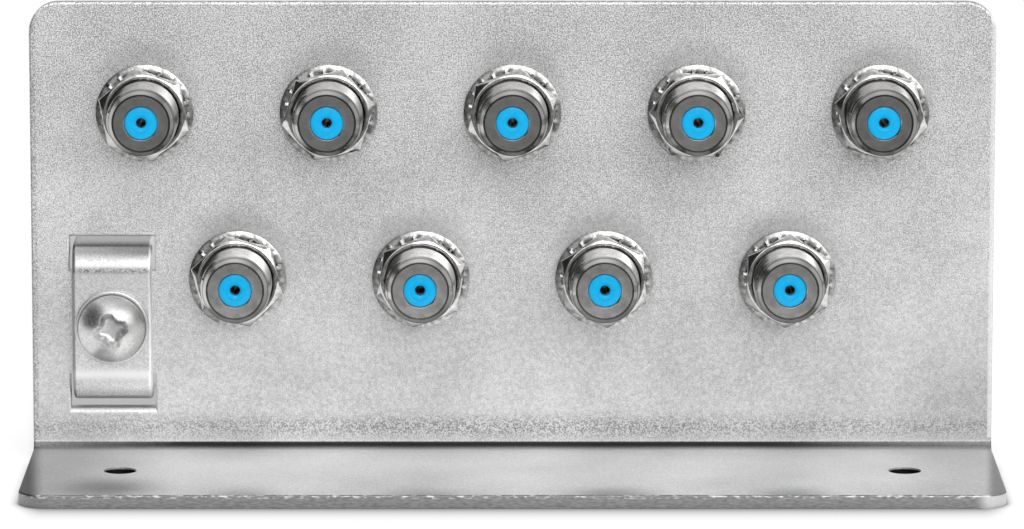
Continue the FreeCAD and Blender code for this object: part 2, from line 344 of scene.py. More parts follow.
def zincPlatedSteel(name, look, shadesAndMarks):
    # cold rolled steel, barrel plated with zinc: satin, with a fine crystalline grain that glints
    material, tree, shader = newMaterial(name, Metallic=1.0)
    place = objectPlace(tree)
    axes = addNode(tree, "ShaderNodeSeparateXYZ", in0=place)
    height = axes.outputs["Z"]
    grain = noise(look["grain"], 1.0, place)
    spangle = noise(look["spangle"], 2.0, place)
    cloud = noise(look["cloud"], 3.0, place)
    # the grain is coarser to the eye high on the plate than near the foot
    strength = ramp(height, look["calm"], 1.0, look["calmBelow"], look["fullAbove"])
    fine = product(ramp(grain, -look["speckle"], look["speckle"], noiseLow, noiseHigh), strength)
    strength = ramp(height, look["footFleck"], 1.0, look["footTop"], look["fleckAbove"])
    broad = product(ramp(spangle, -look["fleck"], look["fleck"], noiseLow, noiseHigh), strength)
    slow = ramp(cloud, -look["drift"], look["drift"], noiseLow, noiseHigh)
    share = blend("ADD", blend("ADD", fine, broad), blend("ADD", slow, look["level"]))
    # painted shade and highlights, with marks such as sheared edges, laid over the plating
    colour = shadesAndMarks(axes, grain, mixColours(share, look["dark"], look["light"]))
    tree.links.new(colour, shader.inputs["Base Color"])
    rough, spread = look["roughness"], look["roughnessSpread"]
    tree.links.new(ramp(share, rough + spread, rough - spread), shader.inputs["Roughness"])
    addBump(shader, grain, look)
    return material


bracketLook = dict(
    # plating: its colours, the sizes of its patterns and how strong they are
    dark="#969696", light="#ffffff", level=0.55, grain=0.17 * mm, spangle=0.5 * mm, cloud=15.0 * mm,
    speckle=0.70, fleck=0.12, drift=0.12, roughness=0.56, roughnessSpread=0.05, relief=0.007 * mm, bump=1.0,
    # shares of speckle and fleck that are left low down; what lies under footTop is foot
    calm=0.30, calmBelow=16.0 * mm, fullAbove=60.0 * mm, footFleck=0.35, footTop=2.0 * mm,
    fleckAbove=6.0 * mm,
    # the fold: painted shade in the crease, and what is left of that at the plate's ends, from how far in
    creaseTop=2.74 * mm, creaseFull=2.52 * mm, creaseFront=13.7 * mm, creaseBack=15.6 * mm,
    creaseInside=(0.05 * mm, 0.25 * mm), creasePower=3.0, creaseShade=0.05,
    creaseLeft=(0.72, 20.0 * mm), creaseRight=(0.66, 30.0 * mm),
    # a darker, speckled band just above the fold; bandSpread: noise values where it begins and is full
    bandHeight=4.6 * mm, bandWidth=2.6 * mm, bandGrain=0.23 * mm, bandSpread=(0.42, 0.60), bandShade=0.42,
    bandEnds=0.6,
    # the same darker speckle along the left edge of the plate
    leftStrip=0.70 * mm, stripSoft=0.2 * mm, stripShade=0.62,
    # painted shadow above each coupler, broken by the grain
    haloRise=2.3 * mm, halo=(5.2 * mm, 8.6 * mm), haloGrain=0.35, haloSpread=(0.35, 0.65), haloShade=0.74,
    # light falls off to the right and on the rounding of the left side
    rightShade=0.92, leftShade=0.80, sideWidth=1.0 * mm, leftLean=-0.3,
    # painted shade: the plate is a little darker towards the fold, less so at the left
    lowShade=0.85, low=(8.0 * mm, 26.0 * mm), lowLeft=0.4, lowSide=(-50.0 * mm, -5.0 * mm),
    # painted highlights: a strip along the right edge of the plate, and the punched edges of the clamp's
    # slots
    rolled=0.55 * mm, rolledSoft=0.15 * mm, rolledAbove=3.2 * mm, rolledShine=0.42,
    slotsLeftOf=-45.0 * mm, slots=(4.5 * mm, 36.0 * mm), slotLean=0.97, slotShine=0.35, slotCut=0.35,
    # the foot is smoother than the plate and painted lighter, most so near the fold where it mirrors the
    # plate; painted shade darkens it towards both ends
    footSheenFront=0.06, footSheenBack=0.44, footEnds=((-1.0, 0.52), (1.0, 0.76)), footFade=24.0 * mm,
    # its ends, darkened by a painted reflection of the dark room beside the plate: how far in and out they
    # reach, and their shade
    endInset=2.4 * mm, leftEnd=(1.4 * mm, 0.9 * mm, 0.16), rightEnd=(0.9 * mm, 0.6 * mm, 0.44),
    # darker patches along its front (middle, half width, shade) and one in front of the left fixing hole
    darkPatchDepth=8.0 * mm,
    darkPatches=((-35.5 * mm, 7.0 * mm, 0.70), (-11.7 * mm, 8.0 * mm, 0.66), (13.2 * mm, 9.0 * mm, 0.56),
             (36.8 * mm, 7.5 * mm, 0.60)),
    spotAcross=-53.0 * mm, spotDepth=-11.5 * mm, spotWidth=10.0 * mm, spotShade=0.44,
    # sheared edges: greyer and duller than the faces, streaked along the cut; how far they may lean
    cutDark="#868686", cutLight="#a2a2a2", cutStreak=0.25 * mm, cutStretch=0.3, cutTop=1.57 * mm,
    cutInset=0.28 * mm, cutBefore=11.0 * mm, edgeOn=0.6, upward=-0.2, sideways=0.9,
    # along the upper edge of the sheared front: painted shade on the lip and broken painted glints
    lip=(1.35 * mm, 1.6 * mm), lipShade=0.72, glint=0.30 * mm, glintSpread=(0.52, 0.62),
    glintHeight=(1.25 * mm, 1.42 * mm), glintShine=0.45,
    # painted highlight on the foot's right front corner, which faces the lamp; painted shade in the fixing
    # holes
    corner=(4.5 * mm, 2.5 * mm), cornerDepth=4.0 * mm, cornerShine=0.48, holeRadius=2.4 * mm, holeShade=0.06)
strapLook = dict(bracketLook, level=0.5, dark="#b8b8b8", grain=0.19 * mm, speckle=0.26, fleck=0.08, calm=1.0,
                 roughness=0.42, relief=0.004 * mm)
screwLook = dict(bracketLook, level=0.5, dark="#a8a8a8", light="#f7f7f6", grain=0.23 * mm, speckle=0.16,
                 fleck=0.06, calm=1.0, roughness=0.36, relief=0.001 * mm)


def plateShades(axes, normal, grain, look):
    # painted shade and darker speckle on the plate: pairs of where and how much
    across, depth, height = axes.outputs
    # painted shade in the crease of the fold
    low = fall(height, look["creaseFull"], look["creaseTop"], True)
    near = rise(depth, look["creaseFront"], look["creaseBack"], True)
    near = blend("POWER", near, look["creasePower"])
    inside = fall(depth, *(plateFront + way for way in look["creaseInside"]))
    (leftShare, leftFade), (rightShare, rightFade) = look["creaseLeft"], look["creaseRight"]
    left = ramp(across, leftShare, 1.0, -plateEnd, leftFade - plateEnd)
    right = ramp(across, 1.0, rightShare, plateEnd - rightFade, plateEnd)
    shades = [(product(low, near, inside, left, right), look["creaseShade"])]
    # the band's grain is drawn at twice its size, or it wouldn't show
    rough = rise(noise(look["bandGrain"], 1.0, objectPlace(axes.id_data)), *look["bandSpread"])
    band = fall(awayFrom(height, look["bandHeight"]), 0.0, look["bandWidth"], True)
    toEnds = ramp(magnitude(across), 1.0, look["bandEnds"], 0.0, plateEnd)
    shades.append((product(band, rough, toEnds), look["bandShade"]))
    edge = look["leftStrip"] - plateEnd
    strip = fall(across, edge, edge + look["stripSoft"])
    shades.append((product(strip, above(height, look["creaseTop"]), rough), look["stripShade"]))
    # painted shadow above each coupler
    nearest = None
    for place in couplerPlaces:
        away = lengthOf(minus(across, place.x), minus(height, place.z + look["haloRise"]))
        nearest = away if nearest is None else blend("MINIMUM", nearest, away)
    halo = product(fall(nearest, *look["halo"], True),
                   ramp(grain, look["haloGrain"], 1.0, *look["haloSpread"]),
                   above(depth, plateFront - skin))
    shades.append((halo, look["haloShade"]))
    # the light falls off to the right
    shades.append((rise(across, -plateEnd, plateEnd), look["rightShade"]))
    # painted shade towards the fold
    low = product(fall(height, *look["low"]), above(height, look["footTop"]),
                  ramp(across, look["lowLeft"], 1.0, *look["lowSide"]))
    shades.append((low, look["lowShade"]))
    outer = below(across, look["sideWidth"] - plateEnd)
    turned = below(normal.outputs["X"], look["leftLean"])
    shades.append((product(outer, turned), look["leftShade"]))
    return shades


def footShades(axes, onFoot, look):
    # the same for the foot
    across, depth = axes.outputs[:2]
    shades = []
    # painted shade towards both ends of the foot
    for side, shade in look["footEnds"]:
        toEnd = rise(product(across, side), plateEnd - look["footFade"], plateEnd, True)
        shades.append((toEnd, shade))
    # painted reflection: the ends mirror the dark room beside the plate, so their darkened part widens to
    # the front
    inset = ramp(depth, look["endInset"], 0.0, footFront, plateFront)
    for operation, (inwards, outwards, shade) in (("SUBTRACT", look["leftEnd"]), ("ADD", look["rightEnd"])):
        end = blend(operation, inset, across)
        shades.append((rise(end, plateEnd - inwards, plateEnd + outwards, True), shade))
    # darker patches along the front, and one in front of the left fixing hole
    upFront = product(minus(depth, footFront), 1 / look["darkPatchDepth"])
    for middle, width, shade in look["darkPatches"]:
        aside = product(minus(across, middle), 1 / width)
        shades.append((fall(lengthOf(aside, upFront), 0.0, 1.0, True), shade))
    spot = lengthOf(minus(across, look["spotAcross"]), minus(depth, look["spotDepth"]))
    shades.append((fall(spot, 0.0, look["spotWidth"], True), look["spotShade"]))
    return [(product(share, onFoot), shade) for share, shade in shades]


def shearedSteel(axes, look):
    across, depth, height = axes.outputs
    stretched = product(across, look["cutStretch"])
    along = addNode(axes.id_data, "ShaderNodeCombineXYZ", X=stretched, Y=depth, Z=height)
    streak = rise(noise(look["cutStreak"], 2.0, along.outputs[0]), noiseLow, noiseHigh)
    colour = mixColours(streak, look["cutDark"], look["cutLight"])
    # painted shade along the upper lip, and painted glints
    colour = darken(colour, ramp(height, 1.0, look["lipShade"], *look["lip"]))
    glint = noise(look["glint"], 2.0, along.outputs[0])
    glint = product(ramp(glint, 0.0, look["glintShine"], *look["glintSpread"]),
                    rise(height, *look["glintHeight"]))
    # painted highlight on the right front corner
    corner = ramp(across, 0.0, look["cornerShine"], *(plateEnd - way for way in look["corner"]), True)
    corner = product(corner, below(depth, footFront + look["cornerDepth"]))
    return layer(largest(glint, corner), colour)


# sheared edges of the bracket, with its painted shade and highlights
def bracketCutsAndPaintedLight(axes, grain, colour):
    look = bracketLook
    across, depth, height = axes.outputs
    normal = worldNormal(axes.id_data)
    leanX, leanY, leanZ = (magnitude(part) for part in normal.outputs)
    onFoot = below(height, look["footTop"])
    # painted reflection: the foot is lightened towards the fold, where it mirrors the plate
    footSheen = ramp(depth, look["footSheenFront"], look["footSheenBack"], footFront, plateFront)
    colour = layer(product(footSheen, onFoot), colour)
    slotsLow, slotsHigh = look["slots"]
    slots = product(below(across, look["slotsLeftOf"]), above(height, slotsLow),
                    below(height, slotsHigh), above(across, look["sideWidth"] - plateEnd),
                    below(leanY, look["slotLean"]))
    # painted highlight on the punched edges of the clamp's slots
    colour = layer(product(slots, look["slotShine"]), colour)
    for share, shade in plateShades(axes, normal, grain, look) + footShades(axes, onFoot, look):
        colour = shaded(colour, share, shade)
    # painted highlight along the right edge of the plate
    rolled = rise(across, plateEnd - look["rolled"] - look["rolledSoft"], plateEnd - look["rolled"])
    rolled = product(rolled, above(height, look["rolledAbove"]), look["rolledShine"])
    colour = layer(rolled, colour)
    # sheared faces: sides and front of the foot, rim of the plate, ends of the fold
    toSide = magnitude(across)
    side = product(below(height, look["cutTop"]), below(leanZ, look["edgeOn"]),
                   below(depth, look["cutBefore"]), onFoot)
    front = below(depth, footFront + look["cutInset"])
    plate = product(below(leanY, look["edgeOn"]), above(depth, plateFront + look["cutInset"]),
                    above(normal.outputs["Z"], look["upward"]))
    ends = product(above(leanX, look["sideways"]), above(toSide, plateEnd - skin))
    cut = product(largest(side, front, plate, ends), ramp(slots, 1.0, look["slotCut"]))
    colour = layer(cut, colour, shearedSteel(axes, look))
    # painted shade in the fixing holes
    hole = product(below(magnitude(depth), look["holeRadius"]), side,
                   below(toSide, plateEnd - look["leftEnd"][0]))
    return shaded(colour, hole, look["holeShade"])


strapLineAndLight = dict(
    # above the middle: a darker, speckled line where the upper bend begins
    pressed=7.35 * mm, pressedWidth=0.8 * mm, pressedSpread=(0.42, 0.58), pressedShade=0.30,
    # painted shade on the upper bend, where it faces up
    bend=(0.15, 0.45), bendShade=0.70,
    # painted highlights on the right edge and along the lower bend, and painted shade on the left edge
    bright=(0.1, 0.4), lowerBendHighlight=-6.9 * mm, lowerBendHighlightWidth=1.1 * mm, left=(-0.4, -0.1), leftShade=0.45,
    # painted shade on the legs behind the plate
    legBehind=0.4 * mm, legShade=0.70)


def paintStrapLineAndLight(axes, grain, colour):
    look = strapLineAndLight
    depth, height = axes.outputs[1:]
    normal = worldNormal(axes.id_data)
    pressed = fall(awayFrom(height, strapMiddle + look["pressed"]), 0.0, look["pressedWidth"], True)
    colour = shaded(colour, product(pressed, rise(grain, *look["pressedSpread"])), look["pressedShade"])
    # painted shade on the upward-facing bend, painted highlights on the right edge and along the lower bend,
    # painted shade on the legs behind the plate and on the left edge
    colour = darken(colour, ramp(normal.outputs["Z"], 1.0, look["bendShade"], *look["bend"]))
    colour = layer(rise(normal.outputs["X"], *look["bright"]), colour)
    lowerBendHighlight = fall(awayFrom(height, strapMiddle + look["lowerBendHighlight"]), 0.0, look["lowerBendHighlightWidth"], True)
    colour = layer(lowerBendHighlight, colour)
    colour = shaded(colour, above(depth, plateFront + look["legBehind"]), look["legShade"])
    return shaded(colour, fall(normal.outputs["X"], *look["left"]), look["leftShade"])


screwShape = dict(
    # rim: straight side below the dome, with a rounding between them
    head=9.0 * mm, rim=0.9 * mm, round=0.25 * mm, steps=96, domeSteps=14,
    # across the wings and across the corners between them, at this height above the crown
    recess=6.4 * mm, core=4.1 * mm, recessAbove=0.4 * mm, depth=1.7 * mm, taper=0.50,
    recessRound=0.40 * mm, recessEdge=0.06 * mm, turn=14.0,
    # runIn: how far the thread starts inside the head
    thread=5.0 * mm, pitch=0.8 * mm, threadDepth=0.43 * mm, runIn=0.2 * mm, tip=0.7 * mm)
screwShadeLook = dict(
    # patches of painted reflection and shade on the head: place across and up, radius, shade; full to this
    # share of the radius
    stains=((-2.6 * mm, 2.0 * mm, 2.2 * mm, 0.45), (-1.0 * mm, -3.9 * mm, 1.9 * mm, 0.62),
            (1.5 * mm, 1.7 * mm, 2.6 * mm, 0.62)),
    full=0.55, stainGrain=0.3, stainSpread=(0.40, 0.58),
    # a painted contact shadow on the washer, round the foot of the head
    line=(0.1 * mm, 0.24 * mm), lineInside=0.4 * mm, lineDepth=0.12 * mm, lineShade=0.35)


def fromScrew(axes, across=0.0, up=0.0):
    # distance from a point of the screw's head, as seen from the front
    return lengthOf(minus(axes.outputs["X"], screwPlace.x + across),
                    minus(axes.outputs["Z"], screwPlace.z + up))


def paintScrewShade(axes, grain, colour):
    look, radius = screwShadeLook, screwShape["head"] / 2
    onHead = below(axes.outputs["Y"], washerSeat - screwShape["rim"])
    # painted reflections and shade on the head, broken by the grain
    speckle = ramp(grain, look["stainGrain"], 1.0, *look["stainSpread"])
    for across, up, size, shade in look["stains"]:
        stain = fall(fromScrew(axes, across, up), look["full"] * size, size, True)
        colour = shaded(colour, product(stain, speckle, onHead), shade)
    # painted contact shadow round the foot of the head
    away = fromScrew(axes)
    line = product(fall(away, *(radius + way for way in look["line"])),
                   above(away, radius - look["lineInside"]),
                   above(axes.outputs["Y"], washerSeat - look["lineDepth"]))
    return shaded(colour, line, look["lineShade"])


def nickelPlatedMetal(name, look):
    # brass turned on a lathe, then plated with bright nickel: mirror-like between the fine tool marks
    material, tree, shader = newMaterial(name, Metallic=1.0)
    own = addNode(tree, "ShaderNodeAttribute", {"attribute_name": "ownPlace"}).outputs["Vector"]
    tone = addNode(tree, "ShaderNodeAttribute", {"attribute_name": "tone"}).outputs["Fac"]
    across, depth, height = addNode(tree, "ShaderNodeSeparateXYZ", in0=own).outputs
    radius = lengthOf(across, height)
    marks = addNode(tree, "ShaderNodeTexNoise", {"noise_dimensions": "1D", "Scale": 1.0, "Detail": 2.0},
                    W=product(radius, 1 / look["toolMark"])).outputs["Fac"]
    stain = noise(look["stain"], 3.0, own)
    share = product(tone, ramp(stain, look["stainDepth"], 1.0, noiseLow, noiseHigh))
    colour = mixColours(share, look["dark"], look["light"])
    if look["groove"]:
        # painted shade in the groove at the rim of the end face, and a dark line round the shoulder
        half = look["grooveWidth"] / 2
        groove = fall(awayFrom(radius, look["groove"]), half, half + look["grooveSoft"])
        groove = product(groove, below(depth, bodyFront + look["grooveDepth"]))
        colour = shaded(colour, groove, look["grooveShade"])
        shoulder = fall(awayFrom(depth, bodyFront + look["shoulder"]), *look["shoulderWidth"], True)
        colour = shaded(colour, shoulder, look["shoulderShade"])
    # painted shade on the undersides and on the sides turned right and left, and on the turns deep inside
    # the nut
    normal = worldNormal(tree)
    for axis, change, start, end, shade in paintedSideShades:
        colour = shaded(colour, change(normal.outputs[axis], start, end, True), look[shade])
    gap = nutFront + look["gap"]
    deep = product(rise(depth, gap, gap + look["gapSoft"]), below(radius, look["gapRadius"]),
                   below(depth, plateFront))
    colour = shaded(colour, deep, look["gapShade"])
    tree.links.new(colour, shader.inputs["Base Color"])
    rough, spread = look["roughness"], look["roughnessSpread"]
    rough = ramp(stain, rough - spread, rough + spread, noiseLow, noiseHigh)
    tree.links.new(rough, shader.inputs["Roughness"])
    addBump(shader, marks, look)
    return material


# painted shade by the way a surface faces: down, right and left
paintedSideShades = (("Z", fall, -0.75, -0.15, "underShade"), ("X", rise, 0.05, 0.55, "rightShade"),
               ("X", fall, -0.3, 0.0, "leftShade"))
couplerLook = dict(
    dark="#8e8e8d", light="#dcdbd9", toolMark=0.11 * mm, stain=1.5 * mm, stainDepth=0.88,
    roughness=0.20, roughnessSpread=0.04, relief=0.002 * mm, bump=0.6,
    groove=3.77 * mm, grooveWidth=0.09 * mm, grooveSoft=0.05 * mm, grooveDepth=0.3 * mm, grooveShade=0.36,
    shoulder=0.55 * mm, shoulderWidth=(0.05 * mm, 0.22 * mm), shoulderShade=0.50,
    underShade=0.34, rightShade=0.55, leftShade=0.9,
    # gap: how far behind the front of the nut the turns get painted shade
    gap=0.30 * mm, gapSoft=0.15 * mm, gapRadius=4.86 * mm, gapShade=0.45)
nutLook = dict(couplerLook, dark="#6e6e6d", light="#eeedec", toolMark=0.12 * mm, stain=0.85 * mm,
               stainDepth=0.55, roughness=0.12, groove=None, underShade=0.30, rightShade=0.95, gap=0.45 * mm,
               gapShade=0.35)
starLook = dict(nutLook, dark="#3c3c3b", light="#cfcfce", roughness=0.27, stain=0.7 * mm, stainDepth=0.30,
                underShade=0.7, leftShade=0.55, rightShade=1.0)


def mouldedPlastic(name, look):
    # acetal, moulded and glossy: even colour, soft highlight, a little light goes in
    material, tree, shader = newMaterial(name, IOR=look["ior"], Roughness=look["roughness"])
    own = addNode(tree, "ShaderNodeAttribute", {"attribute_name": "ownPlace"}).outputs["Vector"]
    cloud = noise(look["cloud"], 2.0, own)
    tree.links.new(mixColours(cloud, look["dark"], look["light"]), shader.inputs["Base Color"])
    addBump(shader, cloud, look)
    return material


insulatorLook = dict(dark="#0096c8", light="#00a7dc", ior=1.36, cloud=0.8 * mm, roughness=0.22,
                     relief=0.01 * mm, bump=0.3)


def springBrass(name, look):
    # tin bronze strip, drawn: yellow and a little brushed
    material, tree, shader = newMaterial(name, Metallic=1.0, Roughness=look["roughness"])
    streak = noise(look["streak"], 2.0, objectPlace(tree))
    tree.links.new(mixColours(streak, look["dark"], look["light"]), shader.inputs["Base Color"])
    return material


contactLook = dict(dark="#4a3616", light="#8a6a30", streak=0.4 * mm, roughness=0.28)

sheetMaterial = zincPlatedSteel("zinc plated steel sheet", bracketLook, bracketCutsAndPaintedLight)
strapMaterial = zincPlatedSteel("zinc plated steel strip", strapLook, paintStrapLineAndLight)
screwMaterial = zincPlatedSteel("zinc plated steel screw", screwLook, paintScrewShade)
couplerMaterial = nickelPlatedMetal("nickel plated turned brass", couplerLook)
nutMaterial = nickelPlatedMetal("nickel plated hexagon nut", nutLook)
starMaterial = nickelPlatedMetal("nickel plated spring steel", starLook)
insulatorMaterial = mouldedPlastic("moulded blue acetal", insulatorLook)
contactMaterial = springBrass("tin bronze contact", contactLook)
print("materials made")


# Coupler bodies: a thread of 32 turns to the inch, a turned groove in each end face, a hexagon behind

couplerShape = dict(
    # nose: plain end ahead of the thread; lead: cone from the nose to the thread
    thread=9.45 * mm, pitch=25.4 / 32 * mm, threadDepth=0.40 * mm, nose=8.9 * mm, noseLength=1.5 * mm,
    chamfer=0.53 * mm, lead=0.3 * mm, lipBore=4.5 * mm, lip=0.9 * mm, bore=6.3 * mm,
    # depth of the groove in the end face; in such depths from the rim, its inner edge and its floor's ends
    groove=0.11 * mm, grooveSides=(2.4, 1.6, 0.8), edge=0.10 * mm,
    # the flange is bored out to just under the roots of the thread
    flangeFlats=11.1 * mm, flangeThickness=2.8 * mm, flangeBore=8.505 * mm, flangeEdge=0.12 * mm)
# how light each coupler is drawn, upper row and then lower row
couplerTones = (0.62, 0.70, 0.68, 0.92, 0.56, 0.90, 1.0, 0.90, 0.84)


def hexagonBar(name, flats, front, back, crown=0.97, chamfer=30):
    corner = flats / math.sqrt(3)
    bar = barAlongY(name, corner, front, back, sides=6)
    inner = flats * crown / 2
    drop = (corner - inner) * math.tan(math.radians(chamfer))
    rim = [(front, 0), (front, inner), (front + drop, corner), (back - drop, corner), (back, inner),
           (back, 0)]
    carve(bar, turnShape("crown", rim), "INTERSECT")
    return bar


def helixThread(name, shape, start, end, steps=72):
    # one turn of the profile, wound past both ends and cut there
    pitch, crest = shape["pitch"], shape["thread"] / 2
    root = crest - shape["threadDepth"]
    flank, land, spare, runOut = 5 / 16 * pitch, pitch / 4, 2, 0.4 * pitch
    begin = start - spare * pitch
    chain = [(root, begin, 0), (root, begin + land, 0), (crest, begin + land + flank, 0),
             (crest, begin + pitch - flank, 0), (root, begin + pitch, 0)]
    piece = drawChain(name, chain)
    bpy.ops.object.mode_set(mode="OBJECT")
    turns = math.ceil((end - start) / pitch) + 2 * spare
    applyModifier(piece, "SCREW", axis="Y", angle=fullTurn, screw_offset=pitch, iterations=turns,
                  steps=steps, render_steps=steps, use_merge_vertices=True, merge_threshold=threadWeld)
    bpy.ops.object.mode_set(mode="EDIT")
    for place, side in ((start - runOut, -1), (end + runOut, 1)):
        bpy.ops.mesh.select_all(action="SELECT")
        bpy.ops.mesh.bisect(plane_co=(0, place, 0), plane_no=(0, side, 0), use_fill=True, clear_outer=True)
    closeShape()
    return piece


def couplerNose(shape):
    # the turned end ahead of the thread, with its groove
    radius, groove, edge = shape["nose"] / 2, shape["groove"], shape["edge"]
    rim = radius - shape["chamfer"]
    inner, floorInner, floorOuter = (rim - side * groove for side in shape["grooveSides"])
    face, hole, bore = bodyFront, shape["lipBore"] / 2, shape["bore"] / 2
    back = face + shape["noseLength"] + shape["lead"]
    return turnShape("nose", [(face + edge, hole), (face, hole + edge), (face, inner),
                              (face + groove, floorInner), (face + groove, floorOuter), (face, rim),
                              (face + shape["chamfer"], radius), (back, radius), (back, bore),
                              (face + shape["lip"], bore), (face + shape["lip"], hole), (face + edge, hole)])


def couplerBlank(shape):
    crest, bore = shape["thread"] / 2 + slack, shape["bore"] / 2
    front, back = bodyFront + shape["noseLength"], bodyBack - shape["noseLength"]
    nose, lead = shape["nose"] / 2, shape["lead"]
    return turnShape("blank", [(front, bore), (front, nose), (front + lead, crest), (back - lead, crest),
                               (back, nose), (back, bore), (front, bore)])


def makeCoupler(shape):
    thread = helixThread("thread", shape, bodyFront, bodyBack)
    carve(thread, couplerBlank(shape), "INTERSECT")
    flange = hexagonBar("flange", shape["flangeFlats"], plateBack, plateBack + shape["flangeThickness"])
    core, past = shape["flangeBore"] / 2, plateBack + 2 * shape["flangeThickness"]
    core = turnShape("core", [(plateFront, 0), (plateFront, core), (past, core), (past, 0)])
    carve(flange, core, "DIFFERENCE")
    bevelEdges(flange, shape["flangeEdge"])
    front, rear = couplerNose(shape), couplerNose(shape)
    rear.data.transform(Matrix.Translation((0, 2 * bodyMiddle, 0)) @ Matrix.Rotation(math.pi, 4, "Z"))
    makeActive(thread)
    for part in (flange, front, rear):
        part.select_set(True)
    bpy.ops.object.join()
    smoothEdges(thread)
    return thread


couplerModel = makeCoupler(couplerShape)
couplerModel.name = "couplerModel"
for number, (place, tone) in enumerate(zip(couplerPlaces, couplerTones), 1):
    body = setDown(couplerModel, f"threaded_coupler_{number}", place.x, place.z, 0.0, couplerMaterial, tone)
    finishPiece(body, "block", f"coupler_body_{number}")
bpy.data.objects.remove(couplerModel)
print("couplers made")


# Insulators: moulded discs with a raised ring round the pin hole, one at each end of a coupler

insulatorShape = dict(
    radius=2.2 * mm, hole=1.37 / 2 * mm, lead=0.23 * mm, ring=1.15 * mm, ringHeight=0.05 * mm,
    edge=0.11 * mm, depth=1.5 * mm)


def makeInsulator(shape):
    face, radius, edge = insulatorFront, shape["radius"], shape["edge"]
    ring, height = shape["ring"], shape["ringHeight"]
    back = face + shape["depth"]
    cut = 0.3 * edge            # the edge is rounded in two steps
    profile = [(back, radius), (face + edge, radius), (face + cut, radius - cut),
               (face, radius - edge), (face, ring + 2 * height), (face - height, ring + height),
               (face - height, ring - height), (face, ring - 2 * height),
               (face, shape["hole"] + shape["lead"]), (face + shape["lead"], shape["hole"]),
               (back, shape["hole"]), (back, radius)]
    piece = turnShape("insulatorModel", profile)
    smoothEdges(piece, angle=40)
    return piece


insulatorModel = makeInsulator(insulatorShape)
for number, place in enumerate(couplerPlaces, 1):
    front = setDown(insulatorModel, f"insulator_front_{number}", place.x, place.z, 0.0, insulatorMaterial)
    finishPiece(front, "block", f"front_insulator_{number}")
    rear = setDown(insulatorModel, f"insulator_rear_{number}", 0, 0, 0.0, insulatorMaterial)
    turnRound = Matrix.Translation((place.x, bodyMiddle, place.z)) @ Matrix.Rotation(math.pi, 4, "Z")
    rear.data.transform(turnRound @ Matrix.Translation((0, -bodyMiddle, 0)))
    finishPiece(rear, "block", f"rear_insulator_{number}")
bpy.data.objects.remove(insulatorModel)
print("insulators made")


# Lock nuts, each left at its own turn, and the tooth washers under them

# mouth and seat: countersinks at the front and at the washer
nutShape = dict(flats=11.1 * mm, bore=9.53 * mm, mouth=10.1 * mm, seat=10.0 * mm, edge=0.10 * mm)
nutTurns = (40.5, 12.5, 20.5, 57.5, 45.0, 45.0, 20.5, 34.0, 27.0)
washerShare = 0.37              # of its nut's turn that each washer was dragged round


def makeNut(shape):
    nut = hexagonBar("nutModel", shape["flats"], nutFront, washerFront)
    bore, mouth, seat = shape["bore"] / 2, shape["mouth"] / 2, shape["seat"] / 2
    hollow = [(nutFront - mm, 0), (nutFront - mm, mouth), (nutFront, mouth), (nutFront + mouth - bore, bore),
              (washerFront - seat + bore, bore), (washerFront, seat), (washerFront + mm, seat),
              (washerFront + mm, 0)]
    carve(nut, turnShape("hollow", hollow), "DIFFERENCE")
    bevelEdges(nut, shape["edge"], angle=20)
    smoothEdges(nut)
    return nut


starShape = dict(
    outside=13.15 * mm, rim=11.6 * mm, bore=9.75 * mm, thickness=0.5 * mm, edge=0.07 * mm,
    # toothShare: of the pitch of the teeth; toothRoot: how far a tooth runs into the rim
    teeth=20, twist=22.0, toothShare=0.42, toothRoot=0.2 * mm,
    cone=0.18 * mm)             # how far the rim falls back


def makeStarWasher(shape):
    middle = (washerFront + plateFront) / 2
    half = shape["thickness"] / 2
    outside, rim = shape["outside"] / 2, shape["rim"] / 2
    ring = turnShape("starModel", [(middle - half, rim), (middle - half + shape["cone"], outside),
                                   (middle + half, outside), (middle + half, rim), (middle - half, rim)])
    length = rim - shape["bore"] / 2 + shape["toothRoot"]
    width = fullTurn * rim / shape["teeth"] * shape["toothShare"]
    for count in range(shape["teeth"]):
        deselectAll()
        bpy.ops.mesh.primitive_cube_add(size=1, location=(0, 0, 0))
        tooth = bpy.context.object
        tooth.data.transform(Matrix.Diagonal((length, shape["thickness"], width, 1)))
        tooth.data.transform(Matrix.Rotation(math.radians(shape["twist"]), 4, "X"))
        tooth.data.transform(Matrix.Translation((shape["bore"] / 2 + length / 2, middle, 0)))
        tooth.data.transform(Matrix.Rotation(fullTurn * count / shape["teeth"], 4, "Y"))
        carve(ring, tooth, "UNION")
    bevelEdges(ring, shape["edge"], angle=25)
    smoothEdges(ring)
    return ring


nutModel = makeNut(nutShape)
starModel = makeStarWasher(starShape)
for number, (place, turn) in enumerate(zip(couplerPlaces, nutTurns), 1):
    # a turn of 0 has the nut's flats at its sides
    nut = setDown(nutModel, f"lock_nut_{number}", place.x, place.z, turn + 30, nutMaterial)
    finishPiece(nut, "block", "coupler_nuts")
    star = setDown(starModel, f"tooth_washer_{number}", place.x, place.z, washerShare * turn, starMaterial)
    finishPiece(star, "block", "lock_washers")
bpy.data.objects.remove(nutModel)
bpy.data.objects.remove(starModel)
print("nuts and washers made")


# Clamp screw and its washer: pan head with a cross recess, 0.8 mm thread on the shank

